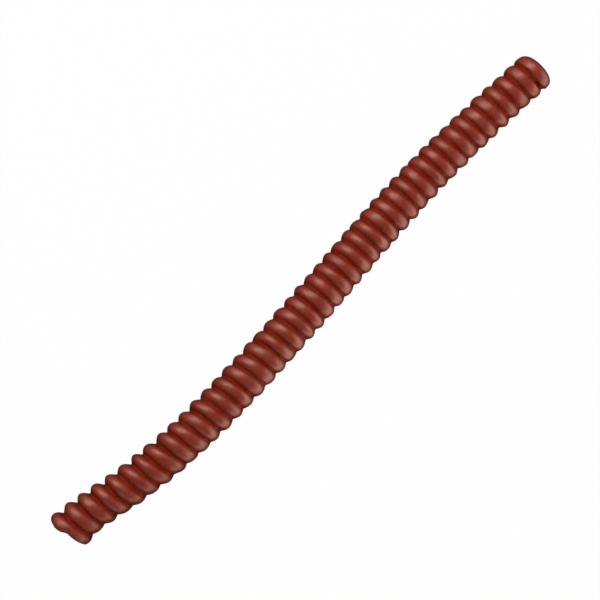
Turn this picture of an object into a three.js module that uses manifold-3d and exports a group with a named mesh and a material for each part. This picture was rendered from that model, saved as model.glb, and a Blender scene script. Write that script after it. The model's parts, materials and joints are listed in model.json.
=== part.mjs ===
// Soft plastic worm: a long, round, ribbed fishing bait that lies on its belly with a few gentle side bends.
// The body is one soft casting. It is divided across its ribs into sections that can bend, twist and stretch
// against each other, because that is how the soft body moves.
//
// Frame, in millimetres: X runs from tail to head, Z is up, and the lowest rib crests touch z = 0.
// The origin is under the middle of the body's bounding box.

import * as THREE from 'three';
import { mergeVertices } from 'three/addons/utils/BufferGeometryUtils.js';
import Module from 'manifold-3d';

// ---- Driving dimensions ----

// The rib is one right-handed helix. Its pitch is given at five even stations from tail to head, and changes evenly
// between them: long in the drawn-out tail, short in the front half, a little longer again at the head.
const RIB_TURNS = 44;
const PITCHES = [3.78, 3.67, 3.29, 3.20, 3.54];

// Body diameter over the rib crests, and how deep the groove between two turns is.
const DIAMETER_AT_TAIL = 9.2;
const DIAMETER_AT_MIDDLE = 10.2;
const DIAMETER_AT_HEAD = 9.3;
const GROOVE_DEPTH = 1.0;
const SMOOTH_HEAD_TURNS = 1.3;

// Sideways bends of the resting body: amplitudes of the sine curves with 1, 2, 3, 4 and 5 half waves along its length.
const SIDE_BENDS = [-3.36, -2.66, -0.36, -0.25, -0.11];

// The head's rim is rounded and leaves a flat face inside it.
const HEAD_RIM_LENGTH = 1.9;
const HEAD_FACE_RADIUS = 3.0;

// Sections: the tail end, the head end and the rib pairs between them hold two turns of the rib each.
const TURNS_IN_SECTION = 2;
const SECTION_COUNT = RIB_TURNS / TURNS_IN_SECTION;
const ROOT_SECTION = 11;

// Joints: the kinds met when counting outwards from the root section, and the room each one needs.
const JOINT_KINDS = [
  'side', 'up', 'twist', 'side', 'up', 'stretch', 'side', 'up', 'twist', 'side', 'up',
];
const BEND_LIMIT = THREE.MathUtils.degToRad(25);
const BEND_SPARE = THREE.MathUtils.degToRad(2);
const JOINT_GAP = 0.4;

// The rib starts on top of the tail. Angles round the body run from +Y (its left side) over the top.
const RIB_START_ANGLE = Math.PI / 2;

// Facets round the body, and the places across one rib where its outline is sampled (0 is the groove, 0.5 the crest).
const FACETS = 16;
const RIB_SAMPLES = [0, 0.17, 0.5, 0.83];
const RIB_FULLNESS = 0.75;

// The cutting tools reach this far from the centre line, well clear of the body.
const TOOL_REACH = 8;

// ---- The shape of the body as formulas ----

// The parabola through a tail, a middle and a head value, at a share of the way from 0 to 1.
function alongBody(tail, middle, head, share) {
  const bend = 2 * (tail + head) - 4 * middle;
  const slope = head - tail - bend;
  return tail + slope * share + bend * share * share;
}

// The distance from the tail face after a number of rib turns: the pitch, added up over those turns.
function distanceAtTurn(turn) {
  const spanCount = PITCHES.length - 1;
  const turnsInSpan = RIB_TURNS / spanCount;
  const lastSpan = THREE.MathUtils.clamp(Math.floor(turn / turnsInSpan), 0, spanCount - 1);
  let distance = 0;
  for (let span = 0; span < lastSpan; span += 1) {
    distance += ((PITCHES[span] + PITCHES[span + 1]) / 2) * turnsInSpan;
  }
  const turnsLeft = turn - lastSpan * turnsInSpan;
  const pitchGrowth = (PITCHES[lastSpan + 1] - PITCHES[lastSpan]) / turnsInSpan;
  return distance + PITCHES[lastSpan] * turnsLeft + (pitchGrowth * turnsLeft * turnsLeft) / 2;
}

const BODY_LENGTH = distanceAtTurn(RIB_TURNS);

function crestRadius(turn) {
  const diameter = alongBody(DIAMETER_AT_TAIL, DIAMETER_AT_MIDDLE, DIAMETER_AT_HEAD, turn / RIB_TURNS);
  return diameter / 2;
}

// A rib has a full, round crest and meets the next turn in a sharp groove. The groove fades out towards the head's rim.
function ribRadius(turn, acrossRib) {
  const turnsLeft = RIB_TURNS - turn;
  const fade = THREE.MathUtils.smoothstep(turnsLeft, 0, SMOOTH_HEAD_TURNS);
  const fullness = Math.sin(Math.PI * acrossRib) ** RIB_FULLNESS;
  return crestRadius(turn) - GROOVE_DEPTH * fade * (1 - fullness);
}

// The centre line swings sideways and stays one crest radius above the ground.
function centreLine(turn) {
  const x = distanceAtTurn(turn);
  const share = x / BODY_LENGTH;
  const y = SIDE_BENDS.reduce((sum, size, i) => sum + size * Math.sin(Math.PI * (i + 1) * share), 0);
  return new THREE.Vector3(x, y, crestRadius(turn));
}

// ---- Solids ----

const wasm = await Module();
wasm.setup();

function solidFrom(geometry) {
  const bare = geometry.clone();
  bare.deleteAttribute('normal');
  bare.deleteAttribute('uv');
  const merged = mergeVertices(bare);
  const mesh = new wasm.Mesh({
    numProp: 3,
    vertProperties: new Float32Array(merged.attributes.position.array),
    triVerts: new Uint32Array(merged.index.array),
  });
  return new wasm.Manifold(mesh);
}

function geometryFrom(solid) {
  const mesh = solid.getMesh();
  const geometry = new THREE.BufferGeometry();
  geometry.setAttribute('position', new THREE.BufferAttribute(mesh.vertProperties, mesh.numProp));
  geometry.setIndex(new THREE.BufferAttribute(mesh.triVerts, 1));
  geometry.computeVertexNormals();
  return geometry;
}

// The whole ribbed body as one closed skin, a little longer than the worm at both ends.
// Every column of vertices runs along the body, and the columns stand just outside the true circle, so that the facets
// between them touch it and one facet lies flat on the ground. Every row follows the helix, so the row that leaves the
// last column carries on one rib further along in the first column.
function ribbedBodyGeometry() {
  const spareTurns = 2;
  const rowsPerTurn = RIB_SAMPLES.length;
  const rowCount = Math.ceil(RIB_TURNS + 2 * spareTurns) * rowsPerTurn;
  const positions = [];
  const triangles = [];

  function pointAt(column, row) {
    const acrossRib = RIB_SAMPLES[row % rowsPerTurn];
    const turn = (column + 0.5) / FACETS + Math.floor(row / rowsPerTurn) + acrossRib - spareTurns;
    const angle = RIB_START_ANGLE + (2 * Math.PI * (column + 0.5)) / FACETS;
    const radius = ribRadius(turn, acrossRib) / Math.cos(Math.PI / FACETS);
    const centre = centreLine(turn);
    return [centre.x, centre.y + radius * Math.cos(angle), centre.z + radius * Math.sin(angle)];
  }

  function vertexId(column, row) {
    if (column === FACETS) {
      return row + rowsPerTurn;
    }
    return column * (rowCount + 1) + row;
  }

  function closeEnd(loop) {
    const centre = new THREE.Vector3();
    for (const id of loop) {
      centre.add(new THREE.Vector3().fromArray(positions, 3 * id));
    }
    centre.divideScalar(loop.length);
    const centreId = positions.length / 3;
    positions.push(centre.x, centre.y, centre.z);
    loop.forEach((id, i) => triangles.push(centreId, id, loop[(i + 1) % loop.length]));
  }

  for (let column = 0; column < FACETS; column += 1) {
    for (let row = 0; row <= rowCount; row += 1) {
      positions.push(...pointAt(column, row));
    }
  }
  for (let column = 0; column < FACETS; column += 1) {
    const lastRow = column === FACETS - 1 ? rowCount - rowsPerTurn : rowCount;
    for (let row = 0; row < lastRow; row += 1) {
      const a = vertexId(column, row);
      const b = vertexId(column, row + 1);
      const c = vertexId(column + 1, row + 1);
      const d = vertexId(column + 1, row);
      triangles.push(a, d, c, a, c, b);
    }
  }

  // Each open end is a ring of one row plus the step, one rib high, where that row has come round.
  const tailLoop = [];
  const headLoop = [];
  for (let column = 0; column < FACETS; column += 1) {
    tailLoop.push(vertexId(column, 0));
    headLoop.push(vertexId(column, rowCount));
  }
  for (let step = rowsPerTurn; step > 0; step -= 1) {
    tailLoop.push(vertexId(0, step));
    headLoop.push(vertexId(FACETS - 1, rowCount - 1 - (rowsPerTurn - step)));
  }
  closeEnd(tailLoop.reverse());
  closeEnd(headLoop);

  const geometry = new THREE.BufferGeometry();
  geometry.setAttribute('position', new THREE.Float32BufferAttribute(positions, 3));
  geometry.setIndex(triangles);
  return geometry;
}

// A block that holds everything between two distances along the body.
function slabSolid(fromX, toX) {
  const block = new THREE.BoxGeometry(toX - fromX, 4 * TOOL_REACH, 4 * TOOL_REACH);
  block.translate((fromX + toX) / 2, 0, 0);
  return solidFrom(block);
}

// The room a joint needs: a thin slice, which opens out like a bow tie on both sides of a bending joint's hinge line.
function jointGapSolid(kind, centre) {
  const bends = kind === 'side' || kind === 'up';
  const halfGap = JOINT_GAP / 2;
  const flare = bends ? TOOL_REACH * Math.tan(BEND_LIMIT / 2 + BEND_SPARE / 2) : 0;
  const outline = new THREE.Shape([
    new THREE.Vector2(-halfGap, 0),
    new THREE.Vector2(-halfGap - flare, -TOOL_REACH),
    new THREE.Vector2(halfGap + flare, -TOOL_REACH),
    new THREE.Vector2(halfGap, 0),
    new THREE.Vector2(halfGap + flare, TOOL_REACH),
    new THREE.Vector2(-halfGap - flare, TOOL_REACH),
  ]);
  const gap = new THREE.ExtrudeGeometry(outline, { depth: 2 * TOOL_REACH, bevelEnabled: false });
  gap.translate(0, 0, -TOOL_REACH);
  if (kind === 'up') {
    gap.rotateX(Math.PI / 2);
  }
  gap.translate(centre.x, centre.y, centre.z);
  return solidFrom(gap);
}

// What the head's rounded rim leaves standing: a round plug with a quarter-round front edge.
function headPlugSolid() {
  const centre = centreLine(RIB_TURNS);
  const plugRadius = centre.z + 0.2;
  const plugLength = 4 * TOOL_REACH;
  const rimSteps = 4;
  const outline = [new THREE.Vector2(0, -plugLength), new THREE.Vector2(plugRadius, -plugLength)];
  for (let step = 0; step <= rimSteps; step += 1) {
    const angle = (step / rimSteps) * (Math.PI / 2);
    const radius = HEAD_FACE_RADIUS + (plugRadius - HEAD_FACE_RADIUS) * Math.cos(angle);
    outline.push(new THREE.Vector2(radius, HEAD_RIM_LENGTH * (Math.sin(angle) - 1)));
  }
  outline.push(new THREE.Vector2(0, 0));
  const plug = new THREE.LatheGeometry(outline, 2 * FACETS);
  plug.rotateZ(-Math.PI / 2);
  plug.translate(centre.x, centre.y, centre.z);
  return solidFrom(plug);
}

// ---- Assembly ----

const softPlastic = new THREE.MeshStandardMaterial({
  name: 'soft_plastic',
  color: new THREE.Color(0x7d2d23),
  roughness: 0.38,
  metalness: 0,
});

// Section 0 is the tail end, the last one is the head end, and rib pairs are numbered from the tail between them.
function sectionName(index) {
  if (index === 0) {
    return 'tail_end';
  }
  if (index === SECTION_COUNT - 1) {
    return 'head_end';
  }
  return `rib_pair_${String(index).padStart(2, '0')}`;
}

// Joint i lies between section i - 1 and section i.
function jointTurn(index) {
  return index * TURNS_IN_SECTION;
}

function jointKind(index) {
  const stepsOut = index <= ROOT_SECTION ? ROOT_SECTION - index : index - ROOT_SECTION - 1;
  return JOINT_KINDS[stepsOut];
}

function buildWorm() {
  const worm = new THREE.Group();
  const body = solidFrom(ribbedBodyGeometry());
  for (let index = 0; index < SECTION_COUNT; index += 1) {
    const isTail = index === 0;
    const isHead = index === SECTION_COUNT - 1;
    const fromX = isTail ? 0 : distanceAtTurn(jointTurn(index));
    const toX = isHead ? BODY_LENGTH : distanceAtTurn(jointTurn(index + 1));
    let solid = body.intersect(slabSolid(fromX, toX));
    if (!isTail) {
      solid = solid.subtract(jointGapSolid(jointKind(index), centreLine(jointTurn(index))));
    }
    if (isHead) {
      solid = solid.intersect(headPlugSolid());
    } else {
      solid = solid.subtract(jointGapSolid(jointKind(index + 1), centreLine(jointTurn(index + 1))));
    }
    const section = new THREE.Mesh(geometryFrom(solid), softPlastic);
    section.name = sectionName(index);
    worm.add(section);
  }
  const box = new THREE.Box3().setFromObject(worm);
  const middle = box.getCenter(new THREE.Vector3());
  worm.position.set(-middle.x, -middle.y, -box.min.z);
  return worm;
}

export default buildWorm();
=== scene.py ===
"""Soft plastic worm: the looks. One soft ribbed skin, in pieces that each run over one joint of the CAD frame.

Lengths are in metres, or in millimetres where a comment says so. The worm lies along X, with its head at +X.
Angles round the body run from +Y, its left side, over the top at 90 degrees.
"""

import json
import math

import bpy
import numpy as np
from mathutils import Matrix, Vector


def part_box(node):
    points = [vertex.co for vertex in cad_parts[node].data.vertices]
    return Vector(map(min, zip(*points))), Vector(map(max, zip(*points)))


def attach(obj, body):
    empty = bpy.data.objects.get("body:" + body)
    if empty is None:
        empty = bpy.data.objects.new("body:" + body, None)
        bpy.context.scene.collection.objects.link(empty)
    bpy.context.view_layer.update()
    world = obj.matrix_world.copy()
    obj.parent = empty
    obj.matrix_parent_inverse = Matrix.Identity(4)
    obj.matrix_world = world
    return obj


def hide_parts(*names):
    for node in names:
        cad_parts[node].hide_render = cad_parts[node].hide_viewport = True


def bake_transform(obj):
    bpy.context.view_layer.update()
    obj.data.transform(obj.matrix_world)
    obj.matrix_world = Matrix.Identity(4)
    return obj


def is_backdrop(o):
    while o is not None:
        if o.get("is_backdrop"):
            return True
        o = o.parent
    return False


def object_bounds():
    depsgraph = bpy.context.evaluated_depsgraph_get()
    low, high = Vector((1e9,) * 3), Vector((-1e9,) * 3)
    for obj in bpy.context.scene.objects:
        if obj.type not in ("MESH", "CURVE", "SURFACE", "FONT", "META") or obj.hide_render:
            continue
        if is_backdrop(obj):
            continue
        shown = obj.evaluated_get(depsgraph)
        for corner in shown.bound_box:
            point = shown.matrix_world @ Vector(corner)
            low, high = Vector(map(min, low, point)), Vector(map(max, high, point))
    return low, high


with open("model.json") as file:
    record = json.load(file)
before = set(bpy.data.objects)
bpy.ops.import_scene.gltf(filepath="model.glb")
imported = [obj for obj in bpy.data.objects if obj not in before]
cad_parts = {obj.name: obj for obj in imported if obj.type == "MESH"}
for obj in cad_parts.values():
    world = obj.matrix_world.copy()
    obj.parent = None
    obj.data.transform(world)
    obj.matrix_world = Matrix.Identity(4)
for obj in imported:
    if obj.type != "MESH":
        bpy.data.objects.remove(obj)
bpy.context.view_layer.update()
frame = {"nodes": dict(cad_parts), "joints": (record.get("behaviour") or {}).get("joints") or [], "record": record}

MM = 0.001

# ---- Sections and joints of the frame, from tail to head ----

SECTIONS = sorted(frame["nodes"], key=lambda node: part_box(node)[0].x)
MOUNTS = {mount["name"]: Vector(mount["pos_m"]) for mount in frame["record"]["mounts"]}
HINGES = [Vector(joint["pos_m"]) for joint in frame["joints"] if joint.get("pos_m")]
TAIL_X, HEAD_X = MOUNTS["tail_face"].x, MOUNTS["head_face"].x

# ---- The rib, counted in turns from the tail. The sections are cut every second turn ----

TURNS_IN_SECTION = 2
RIB_TURNS = TURNS_IN_SECTION * len(SECTIONS)
RIB_START_ANGLE = math.pi / 2
# Depth of the grooves: share of the way from tail to head, and millimetres on the left and on the right.
GROOVE_DEPTH = (
    (0.0, 1.4, 0.62),
    (0.15, 1.25, 0.58),
    (0.35, 0.88, 0.62),
    (0.6, 0.72, 0.65),
    (1.0, 0.68, 0.65),
)
# How round the bottom of a groove is, and how full a rib is (a lower number is fuller).
GROOVE_ROUNDNESS = 0.28
RIB_FULLNESS = 0.75

# How the ribs lie: share of the way from tail to head, degrees they lean towards the tail on the left side,
# degrees they lean towards the head on top, and millimetres they are moved towards the head.
RIB_LEAN = (
    (0.0, -3, -12, 0.3),
    (0.03, -5, -12, 0.5),
    (0.09, -5, -8.8, 0.35),
    (0.2, 0.5, -5.4, 0.5),
    (0.3, 2, 0, 0.25),
    (0.41, 3, 0, 0.05),
    (0.52, -0.5, 0.2, 0),
    (0.62, 0.5, 0, -0.15),
    (0.72, -2, -2.4, -0.2),
    (0.82, -2, -4.1, -0.25),
    (0.92, -4, -3.2, -0.4),
    (1.0, -6, 0, -0.5),
)

# The casting is uneven: a groove strays by a share of a turn, its depth varies by a share of itself, and the
# skin swells. The swell is lowered by a share of its height, so that it hardly rises past the CAD's crests.
GROOVE_STRAY = 0.042
DEPTH_VARIATION = 0.18
SWELL = 0.08 * MM
SWELL_LOWERED = 0.6
STRAY_SEED, DEPTH_SEED, SWELL_SEED = 11, 23, 37
STRAY_WAVES, DEPTH_WAVES, SWELL_WAVES = 0.9, 0.8, 1.0  # the most waves in one turn
WAVE_COUNT = 6
LEAST_WAVES = 0.3  # as a share of the most
WAVES_ROUND = 2  # at most, either way round the body

# ---- The two ends ----

# Where the end of the tail lies: angle round the body in degrees, and millimetres from the tail face. It is
# a blunt lobe on the upper left, a step, and a slanted cut down the right side.
TAIL_EDGE = (
    (0, 0.8),
    (35, 0.2),
    (70, -0.12),
    (88, 0.25),
    (110, 1.5),
    (145, 1.88),
    (185, 2.8),
    (230, 3.65),
    (265, 3.4),
    (300, 2.25),
)
# How long the rounded edge is on the lobe and on the cut, and where the end lies as one becomes the other.
TAIL_ROUNDING = 2.3 * MM
TAIL_CUT_ROUNDING = 0.8 * MM
TAIL_CUT_EDGES = (0.5 * MM, 2 * MM)
# The outline of a rounded edge: 2 is a round one, and more is a squarer one.
TAIL_SQUARENESS, HEAD_SQUARENESS = 2.4, 2.9
# The tail's middle is set back by its mean edge times this.
TAIL_SET_BACK = 1.1
# The rib height given to the end face, which sets how much painted groove shade it gets: a base, and a share of
# the height at its rim.
TAIL_FACE_HEIGHT = (0.35, 0.4)
# The ribs follow the slanted end over this length.
TAIL_EASE = 9.5 * MM
# The last millimetres of the tail are pushed over to the right, and a little thicker.
TAIL_PUSH = 1.1 * MM
TAIL_SWELL = 0.3 * MM
TAIL_PUSH_LENGTH = 10 * MM
# The first rib bulges on the right side: height, distance from the tail face, spread, and angle in degrees.
BULGE = 0.6 * MM
BULGE_X = 4.5 * MM
BULGE_SPREAD = 1.8 * MM
BULGE_ANGLE = 185

# The head's dome is longer on the left side than on the right.
HEAD_DOME = 3.0 * MM
HEAD_DOME_LEAN = 0.3 * MM
HEAD_EASE = 7 * MM
HEAD_SWELL = 0.4 * MM
HEAD_SWELL_LENGTH = 6 * MM
# The last groove runs out here, in turns from the head.
GROOVE_RUN_OUT = (0.3, 0.75)
# A crack in the last groove, on the right side: turns from the head, and angles in degrees.
CRACK_TURNS = 1.0
CRACK_ANGLES = (120, 165)
CRACK_FADE = 0.2  # radians
CRACK_HALF_WIDTH = 0.09  # turns
CRACK_DEPTH = 0.4 * MM

# ---- Mesh ----

ROWS_PER_TURN = 22
COLUMNS = 112
CAP_ROWS = 9
# A piece is closed inside by a shallow dish: rings as shares of the rim with their depths, and the depth of
# its middle.
DISH_RINGS = ((0.9, 0.25 * MM), (0.5, 0.5 * MM))
DISH_DEPTH = 0.6 * MM
ANGLES = 2 * math.pi * np.arange(COLUMNS) / COLUMNS

# ---- Colours, and noise scales in cells per metre ----

# The groove colour is painted shade: it darkens the grooves, following the rib height.
GROOVE_SHADE_COLOUR = (0.13, 0.0082, 0.0024, 1)
CREST_COLOUR = (0.195, 0.0195, 0.0085, 1)
CLOUD_COLOUR = (0.13, 0.022, 0.0075, 1)
SPECK_COLOUR = (0.28, 0.038, 0.022, 1)
# The edge colour is painted shade, laid on edges seen side on.
EDGE_SHADE_COLOUR = (0.055, 0.005, 0.002, 1)
HIGHLIGHT_TINT = (1, 0.86, 0.76, 1)
CLOUD_SCALE, SPECK_SCALE, WAVE_SCALE, GRAIN_SCALE = 330.0, 1900.0, 620.0, 2600.0
WAVE_BUMP, GRAIN_BUMP = 0.16 * MM, 0.04 * MM
# Where each colour comes in and where it is at its most, and how much of it there is then.
# Painted groove shade gives way to the crest colour between these rib heights.
GROOVE_SHADE_RANGE = (0.3, 1.0)  # rib heights
CLOUD_RANGE, CLOUD_SHARE = (0.42, 0.7), 0.5
SPECK_RANGE, SPECK_SHARE = (0.5, 0.8), 0.45
# Painted shade on edges seen side on.
EDGE_SHADE_RANGE, EDGE_SHADE_SHARE = (0.33, 0.75), 0.82  # 0 faces the eye, 1 is seen edge on
# The sheen: roughness follows the clouds, and reflection follows the height of the rib.
ROUGH_RANGE, ROUGHNESS = (0.3, 0.7), (0.36, 0.47)
SHINE_RANGE, SHINE = (0.3, 0.95), (0.04, 0.46)

# ---- Studio and camera ----

FLOOR_SIZE = 3
FLOOR_GLOW = 1.06
# The camera sees this much of the floor as a glow. To all other light the floor is matt and dark.
FLOOR_GLOW_SHARE = 0.93
FLOOR_MATT = (0.1, 0.1, 0.1, 1)
SKY_LIGHT = 0.16
FEET_ROUND = 8

# Lights: name, place, size, power in watts, the point it faces, and colour.
LIGHTS = (
    ("key", (0.14, 0.41, 0.46), (0.9, 0.5), 6.6, (0, 0, 0), (1, 1, 1)),
    ("fill", (0.34, -0.43, 0.08), (0.8, 0.22), 1.9, (0, 0, 0), (1, 0.92, 0.86)),
    ("card", (0.05, -0.18, 0.001), (0.6, 0.34), 1.88, (0.05, -0.18, 1), (1, 0.8, 0.65)),
    ("tail_light", (-0.55, -0.2, 0.1), (0.35, 0.2), 0.7, (0, 0, 0), (1, 1, 1)),
)

CAMERA_LENS = 241.3
CAMERA_AZIMUTH, CAMERA_ELEVATION = math.radians(-44.3), math.radians(80)
CAMERA_DISTANCE = 0.9
# The camera aims this far from the middle of the worm, so that the worm sits where it does in the photo.
CAMERA_AIM = Vector((-0.8, 1.9, 0)) * MM


def smooth_through(knots, values, places):
    """A smooth curve through the values at the knots, read at the places."""
    knots, values, places = (np.asarray(a, float) for a in (knots, values, places))
    slopes = np.gradient(values, knots)
    i = np.clip(np.searchsorted(knots, places, side="right") - 1, 0, len(knots) - 2)
    gap = knots[i + 1] - knots[i]
    t = (places - knots[i]) / gap
    return (
        values[i] * (1 + 2 * t) * (1 - t) ** 2
        + values[i + 1] * (3 - 2 * t) * t**2
        + slopes[i] * gap * t * (1 - t) ** 2
        + slopes[i + 1] * gap * (t - 1) * t**2
    )


def smooth_round(table, angle):
    """A smooth curve round the body through a table of degrees and values."""
    degrees = np.array([row[0] for row in table], float)
    values = np.array([row[1] for row in table], float)
    knots = np.radians(np.concatenate([degrees - 360, degrees, degrees + 360]))
    return smooth_through(knots, np.tile(values, 3), angle % (2 * math.pi))


def smoothstep(low, high, x):
    t = np.clip((x - low) / (high - low), 0, 1)
    return t * t * (3 - 2 * t)


# Distances along the body where the sections meet, halfway between neighbouring CAD boxes.
JOINT_X = [(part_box(a)[1].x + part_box(b)[0].x) / 2 for a, b in zip(SECTIONS, SECTIONS[1:])]
TURN_KNOTS = TURNS_IN_SECTION * np.arange(len(SECTIONS) + 1)
X_KNOTS = np.array([TAIL_X, *JOINT_X, HEAD_X])
CENTRE_KNOTS = sorted([MOUNTS["tail_face"], MOUNTS["head_face"], *HINGES], key=lambda p: p.x)


def x_at_turn(turn):
    return smooth_through(TURN_KNOTS, X_KNOTS, turn)


def turn_at_x(x):
    return smooth_through(X_KNOTS, TURN_KNOTS, x)


def centre_line(x):
    """Sideways place and height of the centre line. Its height is the radius over the rib crests."""
    knots = [p.x for p in CENTRE_KNOTS]
    inside = np.clip(x, TAIL_X, HEAD_X)
    y = smooth_through(knots, [p.y for p in CENTRE_KNOTS], inside)
    z = smooth_through(knots, [p.z for p in CENTRE_KNOTS], inside)
    tail = 1 - smoothstep(0, TAIL_PUSH_LENGTH, x - TAIL_X)
    head = 1 - smoothstep(0, HEAD_SWELL_LENGTH, HEAD_X - x)
    return y - TAIL_PUSH * tail, z + TAIL_SWELL * tail + HEAD_SWELL * head


# ---- The surface of the skin ----

def unevenness(turn, angle, seed, per_turn):
    """A gentle random swell along and round the body, between about -1 and 1, the same on every run."""
    rng = np.random.default_rng(seed)
    total = 0
    for _ in range(WAVE_COUNT):
        along = rng.uniform(LEAST_WAVES, 1) * per_turn
        around = rng.integers(-WAVES_ROUND, WAVES_ROUND + 1)
        phase = rng.uniform(0, 2 * math.pi)
        total = total + np.sin(2 * math.pi * along * turn + around * angle + phase)
    return 2 * total / WAVE_COUNT


def rib_profile(across):
    """Height across one rib, 0 in the groove and 1 on the crest: a round rib and a round-bottomed groove."""
    wave = np.sin(math.pi * across) ** 2
    low = GROOVE_ROUNDNESS**2
    soft = (np.sqrt(wave + low) - math.sqrt(low)) / (math.sqrt(1 + low) - math.sqrt(low))
    return soft**RIB_FULLNESS


def rib_phase(x, angle, crest):
    """Turns of the rib at a place on the skin, with the lean of the ribs. It is whole in every groove."""
    share = (x - TAIL_X) / (HEAD_X - TAIL_X)
    places, *columns = zip(*RIB_LEAN)
    side, up, shift = (smooth_through(places, column, share) for column in columns)
    side, up = np.tan(np.radians(side)), np.tan(np.radians(up))
    square_x = x + crest * (side * np.cos(angle) - up * (np.sin(angle) - 1)) - shift * MM
    share_round = ((angle - RIB_START_ANGLE + math.pi) % (2 * math.pi) - math.pi) / (2 * math.pi)
    return turn_at_x(square_x) - share_round


def groove_depth(x, angle):
    """Depth of the grooves, which goes evenly round the body from its left side to its right."""
    share = (x - TAIL_X) / (HEAD_X - TAIL_X)
    places, left, right = zip(*GROOVE_DEPTH)
    left = smooth_through(places, left, share)
    right = smooth_through(places, right, share)
    return MM * ((left + right) / 2 + (left - right) / 2 * np.cos(angle))


def crack_depth(phase, angle):
    """Depth of the crack in the last groove."""
    low, high = np.radians(CRACK_ANGLES)
    along = smoothstep(low, low + CRACK_FADE, angle) * (1 - smoothstep(high - CRACK_FADE, high, angle))
    across = np.exp(-(((phase - (RIB_TURNS - CRACK_TURNS)) / CRACK_HALF_WIDTH) ** 2))
    return CRACK_DEPTH * along * across


def bulge_height(x, angle):
    """Height of the bulge of the first rib."""
    along = np.exp(-(((x - TAIL_X - BULGE_X) / BULGE_SPREAD) ** 2))
    return BULGE * along * np.clip(np.cos(angle - math.radians(BULGE_ANGLE)), 0, 1) ** 2


def skin_radius(x, angle):
    """Radius of the skin and height across the rib (0 groove, 1 crest)."""
    _, crest = centre_line(x)
    turn = turn_at_x(x)
    phase = rib_phase(x, angle, crest) + GROOVE_STRAY * unevenness(turn, angle, STRAY_SEED, STRAY_WAVES)
    height = rib_profile(phase % 1)
    groove = np.round(phase)
    fade = np.where(groove >= RIB_TURNS, 0, smoothstep(*GROOVE_RUN_OUT, RIB_TURNS - turn))
    fade = np.where(groove <= 0, 0, fade)
    variation = 1 + DEPTH_VARIATION * unevenness(turn, angle, DEPTH_SEED, DEPTH_WAVES)
    depth = groove_depth(x, angle) * variation * fade
    swell = SWELL * (unevenness(turn, angle, SWELL_SEED, SWELL_WAVES) - SWELL_LOWERED)
    radius = crest - depth * (1 - height) + swell - crack_depth(phase, angle) + bulge_height(x, angle)
    return radius, 1 - fade * (1 - height)


def skin_point(x, angle):
    y, z = centre_line(x)
    radius, height = skin_radius(x, angle)
    return np.stack([x, y + radius * np.cos(angle), z + radius * np.sin(angle)], -1), height


def tail_start():
    """Where the skin starts round the tail, and how long its rounded edge is there."""
    edge = MM * smooth_round(TAIL_EDGE, ANGLES)
    cut = smoothstep(*TAIL_CUT_EDGES, edge)
    return edge, TAIL_ROUNDING + (TAIL_CUT_ROUNDING - TAIL_ROUNDING) * cut


def head_dome_length():
    return HEAD_DOME + HEAD_DOME_LEAN * np.cos(ANGLES)


def body_rows(turns):
    """Rows of skin points round the body. Near the ends they lean over to follow the edges."""
    flat = x_at_turn(np.asarray(turns))[:, None]
    edge, rounding = tail_start()
    tail_ease = 1 - smoothstep(0, TAIL_EASE, flat - TAIL_X)
    head_ease = 1 - smoothstep(0, HEAD_EASE, HEAD_X - flat)
    x = flat + tail_ease * (edge + rounding)[None, :] - head_ease * head_dome_length()[None, :]
    angle = np.broadcast_to(ANGLES[None, :], x.shape)
    return skin_point(x, angle)


def cap_rows(rim, edge_x, length, middle, squareness):
    """Rows from a rim over a rounded edge to the middle of an end face. The edge reaches out by a length."""
    rows = []
    for step in range(1, CAP_ROWS + 1):
        a = math.pi / 2 * step / (CAP_ROWS + 1)
        inwards = math.cos(a) ** (2 / squareness)
        outwards = math.sin(a) ** (2 / squareness)
        row = middle + (rim - middle) * inwards
        face_x = middle[0] + (edge_x - middle[0]) * inwards
        row[:, 0] = rim[:, 0] + (face_x - rim[:, 0]) * outwards
        rows.append(row)
    return np.array(rows)


def whole_skin():
    """Rows of skin points from the tail face to the head face, rib heights, and the faces' middle points."""
    turns = np.linspace(0, RIB_TURNS, RIB_TURNS * ROWS_PER_TURN + 1)
    body, heights = body_rows(turns)
    edge, rounding = tail_start()
    y, z = centre_line(np.array([TAIL_X, HEAD_X]))
    tail_middle = np.array([TAIL_X + edge.mean() * TAIL_SET_BACK, y[0], z[0]])
    head_middle = np.array([HEAD_X, y[1], z[1]])
    tail = cap_rows(body[0], TAIL_X + edge, rounding, tail_middle, TAIL_SQUARENESS)[::-1]
    head_edge = np.full(COLUMNS, HEAD_X)
    head = cap_rows(body[-1], head_edge, head_dome_length(), head_middle, HEAD_SQUARENESS)
    base, rim_share = TAIL_FACE_HEIGHT
    tail_heights = np.broadcast_to(base + rim_share * heights[0], (CAP_ROWS, COLUMNS))
    head_heights = np.ones((CAP_ROWS, COLUMNS))
    all_rows = np.concatenate([tail, body, head])
    all_heights = np.concatenate([tail_heights, heights, head_heights])
    return all_rows, all_heights, tail_middle, head_middle


SKIN_ROWS, SKIN_HEIGHTS, TAIL_MIDDLE, HEAD_MIDDLE = whole_skin()


def skin_normals():
    """Normals of the whole skin, so that shading runs on from one piece to the next."""
    before = np.concatenate([np.broadcast_to(TAIL_MIDDLE, (1, COLUMNS, 3)), SKIN_ROWS[:-1]])
    after = np.concatenate([SKIN_ROWS[1:], np.broadcast_to(HEAD_MIDDLE, (1, COLUMNS, 3))])
    along = after - before
    around = np.roll(SKIN_ROWS, -1, axis=1) - np.roll(SKIN_ROWS, 1, axis=1)
    normals = np.cross(around, along)
    return normals / np.linalg.norm(normals, axis=-1, keepdims=True)


SKIN_NORMALS = skin_normals()


def inner_cap(rim, inward):
    """A shallow dish that closes a piece where the next one carries on."""
    middle = rim.mean(0)
    rows = []
    for share, sink in DISH_RINGS:
        row = middle + (rim - middle) * share
        row[:, 0] += inward * sink
        rows.append(row)
    return np.array(rows), middle + np.array([inward * DISH_DEPTH, 0, 0])


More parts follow.
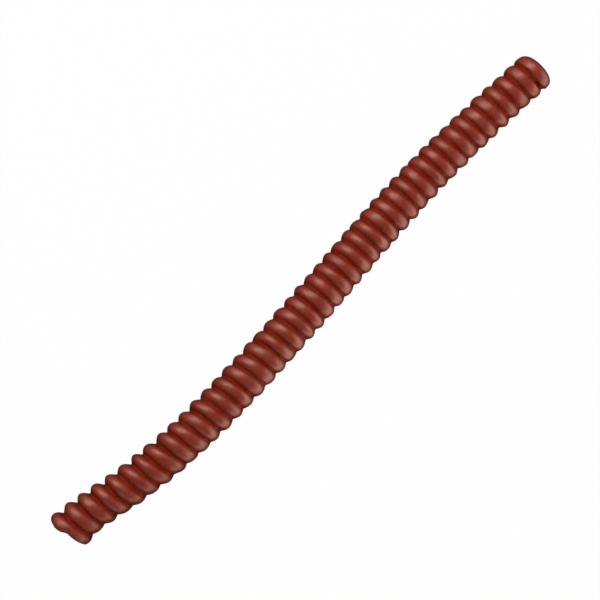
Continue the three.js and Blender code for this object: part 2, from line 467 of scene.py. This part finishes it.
def grid_mesh(name, rows, heights, normals, first, last):
    """A closed mesh: a fan to the first point, bands between rows, a fan to the last point."""
    count = len(rows)
    column = np.arange(COLUMNS)
    after = (column + 1) % COLUMNS
    faces = [(0, 1 + b, 1 + a) for a, b in zip(column, after)]
    for row in range(count - 1):
        low, high = 1 + row * COLUMNS, 1 + (row + 1) * COLUMNS
        faces += [(low + a, low + b, high + b, high + a) for a, b in zip(column, after)]
    top, tip = 1 + (count - 1) * COLUMNS, 1 + count * COLUMNS
    faces += [(tip, top + a, top + b) for a, b in zip(column, after)]
    points = np.concatenate([[first], rows.reshape(-1, 3), [last]])
    mesh = bpy.data.meshes.new(name)
    mesh.from_pydata(points.tolist(), [], [tuple(int(i) for i in face) for face in faces])
    mesh.update()
    all_heights = np.concatenate([[heights[0].mean()], heights.ravel(), [heights[-1].mean()]])
    # The rib height also sets the painted shade in the grooves.
    height_layer = mesh.attributes.new("rib_height", "FLOAT", "POINT")
    height_layer.data.foreach_set("value", all_heights.astype(np.float32))
    place_layer = mesh.attributes.new("rest_place", "FLOAT_VECTOR", "POINT")
    place_layer.data.foreach_set("vector", points.astype(np.float32).ravel())
    mesh.polygons.foreach_set("use_smooth", [True] * len(mesh.polygons))
    all_normals = np.concatenate([[(-1, 0, 0)], normals.reshape(-1, 3), [(1, 0, 0)]])
    mesh.normals_split_custom_set_from_vertices(all_normals.tolist())
    piece = bpy.data.objects.new(name, mesh)
    bpy.context.scene.collection.objects.link(piece)
    return piece


def middle_row(section):
    """The skin row at the middle of a section."""
    return CAP_ROWS + round((section + 0.5) * TURNS_IN_SECTION * ROWS_PER_TURN)


def skin_piece(index, material):
    """The skin over one joint, from the middle of section index to the middle of section index + 1."""
    first_piece = index == 0
    last_piece = index == len(SECTIONS) - 2
    start = 0 if first_piece else middle_row(index)
    end = len(SKIN_ROWS) - 1 if last_piece else middle_row(index + 1)
    rows = SKIN_ROWS[start : end + 1]
    heights = SKIN_HEIGHTS[start : end + 1]
    normals = SKIN_NORMALS[start : end + 1]
    first, last = TAIL_MIDDLE, HEAD_MIDDLE
    dish_heights = np.zeros((len(DISH_RINGS), COLUMNS))
    dish_normals = np.broadcast_to(np.array([1.0, 0, 0]), (len(DISH_RINGS), COLUMNS, 3))
    if not first_piece:
        dish, first = inner_cap(rows[0], 1)
        rows = np.concatenate([dish[::-1], rows])
        heights = np.concatenate([dish_heights, heights])
        normals = np.concatenate([-dish_normals, normals])
    if not last_piece:
        dish, last = inner_cap(rows[-1], -1)
        rows = np.concatenate([rows, dish])
        heights = np.concatenate([heights, dish_heights])
        normals = np.concatenate([normals, dish_normals])
    piece = grid_mesh(f"skin_{index + 1:02d}", rows, heights, normals, first, last)
    piece.data.materials.append(material)
    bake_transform(piece)
    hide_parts(SECTIONS[index])
    if last_piece:
        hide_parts(SECTIONS[index + 1])
    return piece


# ---- Material ----

class Nodes:
    """Small helper that adds nodes to one material and links them."""

    def __init__(self, material):
        material.use_nodes = True
        self.tree = material.node_tree

    def add(self, kind, settings=None, **inputs):
        node = self.tree.nodes.new(kind)
        for key, value in (settings or {}).items():
            setattr(node, key, value)
        for key, value in inputs.items():
            socket = node.inputs[key.replace("_", " ")]
            if isinstance(value, bpy.types.NodeSocket):
                self.tree.links.new(value, socket)
            else:
                socket.default_value = value
        return node

    def mix(self, factor, first, second):
        """One colour turning into another."""
        node = self.tree.nodes.new("ShaderNodeMix")
        node.data_type = "RGBA"
        for socket, value in ((node.inputs[0], factor), (node.inputs[6], first), (node.inputs[7], second)):
            if isinstance(value, bpy.types.NodeSocket):
                self.tree.links.new(value, socket)
            else:
                socket.default_value = value
        return node.outputs[2]

    def noise(self, place, scale, detail, roughness):
        inputs = {"Vector": place, "Scale": scale, "Detail": detail, "Roughness": roughness}
        return self.add("ShaderNodeTexNoise", **inputs).outputs["Fac"]

    def ranged(self, value, start, end, to_start=0.0, to_end=1.0, interpolation="LINEAR"):
        """The value between start and end, turned into one between to_start and to_end, and held there."""
        node = self.add(
            "ShaderNodeMapRange",
            {"interpolation_type": interpolation},
            Value=value,
            From_Min=start,
            From_Max=end,
            To_Min=to_start,
            To_Max=to_end,
        )
        return node.outputs["Result"]


def plastic_colour(make, rib, clouds, specks):
    """Painted shade darkens the grooves against the paler crests; cloudy pigment and light specks; painted shade
    darkens edges seen side on.
    """
    # Painted shade in the grooves, fading out towards the crests.
    groove_shade_fade = make.ranged(rib, *GROOVE_SHADE_RANGE, interpolation="SMOOTHSTEP")
    body = make.mix(groove_shade_fade, GROOVE_SHADE_COLOUR, CREST_COLOUR)
    clouded = make.mix(make.ranged(clouds, *CLOUD_RANGE, to_end=CLOUD_SHARE), body, CLOUD_COLOUR)
    specked = make.mix(make.ranged(specks, *SPECK_RANGE, to_end=SPECK_SHARE), clouded, SPECK_COLOUR)
    # Painted shade: edges seen side on turn towards the dark edge colour.
    facing = make.add("ShaderNodeLayerWeight", Blend=0.5).outputs["Facing"]
    return make.mix(make.ranged(facing, *EDGE_SHADE_RANGE, to_end=EDGE_SHADE_SHARE), specked, EDGE_SHADE_COLOUR)


def soft_plastic():
    """Red-brown soft plastic with an uneven satin skin, glossier on the crests than in the grooves."""
    material = bpy.data.materials.new("soft_plastic")
    make = Nodes(material)
    shader = make.tree.nodes["Principled BSDF"]
    place = make.add("ShaderNodeAttribute", {"attribute_name": "rest_place"}).outputs["Vector"]
    rib = make.add("ShaderNodeAttribute", {"attribute_name": "rib_height"}).outputs["Fac"]
    clouds = make.noise(place, CLOUD_SCALE, 3.0, 0.6)
    specks = make.noise(place, SPECK_SCALE, 2.0, 0.6)
    grain = make.noise(place, GRAIN_SCALE, 4.0, 0.65)
    waves = make.noise(place, WAVE_SCALE, 2.0, 0.5)

    coarse = make.add("ShaderNodeBump", Strength=0.6, Distance=WAVE_BUMP, Height=waves).outputs["Normal"]
    fine = make.add("ShaderNodeBump", Strength=0.5, Distance=GRAIN_BUMP, Height=grain, Normal=coarse)
    surface = {
        "Base Color": plastic_colour(make, rib, clouds, specks),
        "Roughness": make.ranged(clouds, *ROUGH_RANGE, *ROUGHNESS),
        "Specular IOR Level": make.ranged(rib, *SHINE_RANGE, *SHINE, "SMOOTHSTEP"),
        "Normal": fine.outputs["Normal"],
    }
    for name, output in surface.items():
        make.tree.links.new(output, shader.inputs[name])
    shader.inputs["Specular Tint"].default_value = HIGHLIGHT_TINT
    return material


# ---- Studio ----

def pale_floor():
    """A nearly white floor with the faintest shadow, that throws little light back up on the worm."""
    material = bpy.data.materials.new("pale_floor")
    make = Nodes(material)
    make.tree.nodes.clear()
    seen = make.add("ShaderNodeLightPath").outputs["Is Camera Ray"]
    share = make.add("ShaderNodeMath", {"operation": "MULTIPLY"})
    make.tree.links.new(seen, share.inputs[0])
    share.inputs[1].default_value = FLOOR_GLOW_SHARE
    matt = make.add("ShaderNodeBsdfDiffuse", Color=FLOOR_MATT)
    glow = make.add("ShaderNodeEmission", Strength=FLOOR_GLOW)
    both = make.tree.nodes.new("ShaderNodeMixShader")
    make.tree.links.new(share.outputs[0], both.inputs[0])
    make.tree.links.new(matt.outputs[0], both.inputs[1])
    make.tree.links.new(glow.outputs[0], both.inputs[2])
    output = make.tree.nodes.new("ShaderNodeOutputMaterial")
    make.tree.links.new(both.outputs[0], output.inputs["Surface"])
    return material


def floor_foot(name, section, place):
    """A marker on the underside or flank of a section, which the floor keeps below."""
    foot = bpy.data.objects.new(name, None)
    foot.location = place
    foot.empty_display_size = MM
    bpy.context.scene.collection.objects.link(foot)
    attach(foot, section)
    return foot


def section_feet():
    """Feet round both ends of every section."""
    feet = []
    for section in SECTIONS:
        low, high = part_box(section)
        for end_x in (low.x, high.x):
            y, z = (float(v) for v in centre_line(np.array(end_x)))
            for step in range(FEET_ROUND):
                angle = 2 * math.pi * step / FEET_ROUND
                place = (end_x, y + z * math.cos(angle), z + z * math.sin(angle))
                feet.append(floor_foot(f"foot_{len(feet):03d}", section, place))
    return feet


def studio_floor():
    """The floor, which sinks with the lowest section when the body bends below its resting height."""
    reach = FLOOR_SIZE
    corners = [(-reach, -reach, 0), (reach, -reach, 0), (reach, reach, 0), (-reach, reach, 0)]
    floor_mesh = bpy.data.meshes.new("floor")
    floor_mesh.from_pydata(corners, [], [(0, 1, 2, 3)])
    floor_mesh.materials.append(pale_floor())
    floor = bpy.data.objects.new("floor", floor_mesh)
    bpy.context.scene.collection.objects.link(floor)
    floor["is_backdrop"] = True
    height = floor.driver_add("location", 2).driver
    height.type = "MIN"
    for foot in section_feet():
        variable = height.variables.new()
        variable.type = "TRANSFORMS"
        variable.targets[0].id = foot
        variable.targets[0].transform_type = "LOC_Z"
        variable.targets[0].transform_space = "WORLD_SPACE"
    return floor


def studio_world():
    """White behind the worm for the camera, and a dim even light on the worm."""
    world = bpy.data.worlds.new("studio")
    bpy.context.scene.world = world
    world.use_nodes = True
    nodes, links = world.node_tree.nodes, world.node_tree.links
    seen = nodes.new("ShaderNodeLightPath").outputs["Is Camera Ray"]
    brightness = nodes.new("ShaderNodeMapRange")
    brightness.inputs["To Min"].default_value = SKY_LIGHT
    brightness.inputs["To Max"].default_value = 1.0
    links.new(seen, brightness.inputs["Value"])
    links.new(brightness.outputs["Result"], nodes["Background"].inputs["Strength"])
    nodes["Background"].inputs["Color"].default_value = (1, 1, 1, 1)
    bpy.context.scene.view_settings.view_transform = "Standard"


def area_light(name, place, size, power, target, colour):
    light = bpy.data.lights.new(name, "AREA")
    light.shape = "ELLIPSE"
    light.size, light.size_y = size
    light.energy = power
    light.color = colour
    lamp = bpy.data.objects.new(name, light)
    lamp.location = place
    lamp.rotation_euler = (Vector(target) - Vector(place)).to_track_quat("-Z", "Y").to_euler()
    lamp.visible_camera = False
    bpy.context.scene.collection.objects.link(lamp)
    return lamp


def lights(floor):
    """Soft lights. The card lies on the floor and sinks with it, so that it stays below the body."""
    lamps = {light[0]: area_light(*light) for light in LIGHTS}
    lamps["card"].parent = floor


def camera():
    """A long lens that looks steeply down on the worm, from over its tail and its right side."""
    data = bpy.data.cameras.new("camera")
    data.lens = CAMERA_LENS
    data.clip_start, data.clip_end = 0.01, 20
    lens = bpy.data.objects.new("camera", data)
    bpy.context.scene.collection.objects.link(lens)
    low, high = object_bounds()
    target = (low + high) / 2 + CAMERA_AIM
    flat = math.cos(CAMERA_ELEVATION)
    back = Vector(
        (math.sin(CAMERA_AZIMUTH) * flat, -math.cos(CAMERA_AZIMUTH) * flat, math.sin(CAMERA_ELEVATION))
    )
    lens.location = target + back * CAMERA_DISTANCE
    lens.rotation_euler = (-back).to_track_quat("-Z", "Y").to_euler()
    bpy.context.scene.camera = lens


plastic = soft_plastic()
for index in range(len(SECTIONS) - 1):
    skin_piece(index, plastic)
floor = studio_floor()
studio_world()
lights(floor)
camera()
